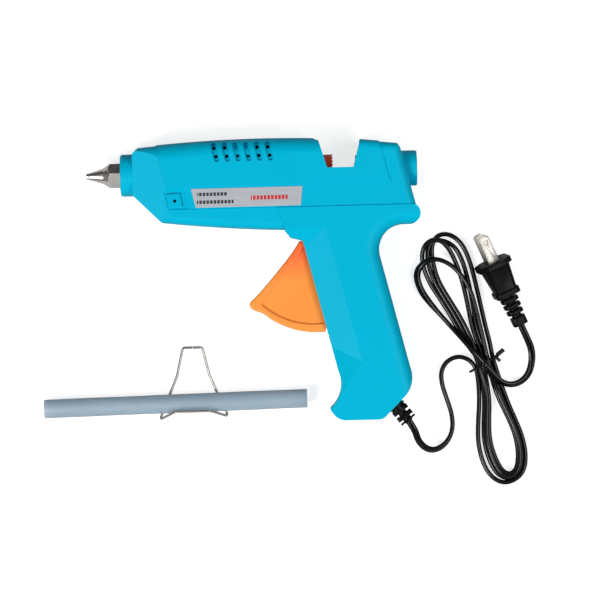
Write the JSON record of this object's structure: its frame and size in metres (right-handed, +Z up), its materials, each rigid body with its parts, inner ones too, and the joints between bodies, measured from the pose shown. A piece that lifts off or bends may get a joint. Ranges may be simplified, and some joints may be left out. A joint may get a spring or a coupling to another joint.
{
  "type": "glue gun",
  "caption": "Trigger-fed hot-melt glue gun lying on its side, with metal nozzle, raked handle, tied mains lead and plug, loose wire stand and a spare glue stick",
  "frame": {"origin": "Centre of the footprint, on the bench, of the gun, its stand and its stick; the lead and plug are left out of it.", "axes": "The gun lies on its right side. +X runs along the barrel from nozzle to tail, +Y from the foot of the handle to the top of the barrel, +Z up off the bench, out of the gun's left side."},
  "size_m": [0.2913, 0.2071, 0.037],
  "materials": {
    "housing_plastic": "fine spark-textured moulded plastic",
    "label_film": "silver printed film",
    "screw_steel": "zinc-plated self-tapping screw",
    "nozzle_plate": "nickel-plated steel",
    "spring_steel": "spring wire",
    "cast_zinc": "die-cast melt chamber",
    "heater_ceramic": "ceramic heating element",
    "electrode_metal": "stamped electrode plate",
    "amber_film": "amber insulating film",
    "front_ring_resin": "heat-resistant resin",
    "silicone": "soft silicone",
    "carriage_plastic": "red-orange moulded plastic",
    "trigger_plastic": "orange moulded plastic",
    "pin_steel": "ground steel pin",
    "cord_rubber": "black flexible lead",
    "live_insulation": "brown wire insulation",
    "neutral_insulation": "blue wire insulation",
    "clamp_resin": "natural moulded plastic",
    "tie_plastic": "plastic-covered wire",
    "plug_plastic": "black moulded plastic",
    "blade_metal": "plated brass blade",
    "stand_wire": "plated steel wire",
    "glue": "translucent hot-melt glue"
  },
  "bodies": {
    "gun": {"left_housing": "housing_plastic", "right_housing": "housing_plastic", "rating_label": "label_film", "housing_screws": "screw_steel", "nozzle": "nozzle_plate", "nozzle_ball": "pin_steel", "nozzle_spring": "spring_steel", "melt_chamber": "cast_zinc", "ptc_element": "heater_ceramic", "electrode_plates": "electrode_metal", "heater_insulation": "amber_film", "heater_clip": "spring_steel", "front_ring": "front_ring_resin", "inlet_sleeve": "silicone", "sleeve_clamp": "spring_steel", "trigger_pin": "pin_steel", "strain_relief": "cord_rubber", "inner_cord": "cord_rubber", "live_lead": "live_insulation", "neutral_lead": "neutral_insulation", "crimp_terminals": "electrode_metal", "cord_clamp_bar": "clamp_resin", "clamp_screws": "screw_steel", "cord_lead": "cord_rubber", "cord_tail": "cord_rubber", "cord_hank": "cord_rubber", "twist_tie": "tie_plastic", "plug_body": "plug_plastic", "plug_blades": "blade_metal"},
    "trigger": {"trigger": "trigger_plastic"},
    "carriage": {"feed_carriage": "carriage_plastic", "gripper_pin": "pin_steel", "return_spring": "spring_steel"},
    "gripper": {"stick_gripper": "carriage_plastic"},
    "stand": {"wire_stand": "stand_wire"},
    "stick": {"glue_stick": "glue"}
  },
  "joints": [
    {"name": "trigger_squeeze", "type": "hinge", "parent": "gun", "child": "trigger", "pos_m": [0.0512, 0.02177, 0.0185], "axis": [0, 0, 1], "range_deg": [0, 22], "stiffness_Nm_per_rad": 0.12, "springref_deg": -34.38},
    {"name": "carriage_slide", "type": "slide", "parent": "gun", "child": "carriage", "axis": [-1, 0, 0], "range_m": [0, 0.0098], "deforming": ["return_spring"]},
    {"name": "gripper_tilt", "type": "hinge", "parent": "carriage", "child": "gripper", "pos_m": [0.0552, 0.05437, 0.0185], "axis": [0, 0, -1], "range_deg": [0, 4.2]},
    {"name": "stand_lift", "type": "slide", "parent": "gun", "child": "stand", "axis": [0, 0, 1], "range_m": [0, 0.06]},
    {"name": "stick_slide", "type": "slide", "parent": "stand", "child": "stick", "axis": [-0.9999, -0.0148, 0], "range_m": [0, 0.06]}
  ],
  "couplings": [
    {"joint": "carriage_slide", "follows": "trigger_squeeze", "m_per_rad": 0.025089},
    {"joint": "gripper_tilt", "follows": "trigger_squeeze", "ratio": 0.18182}
  ]
}
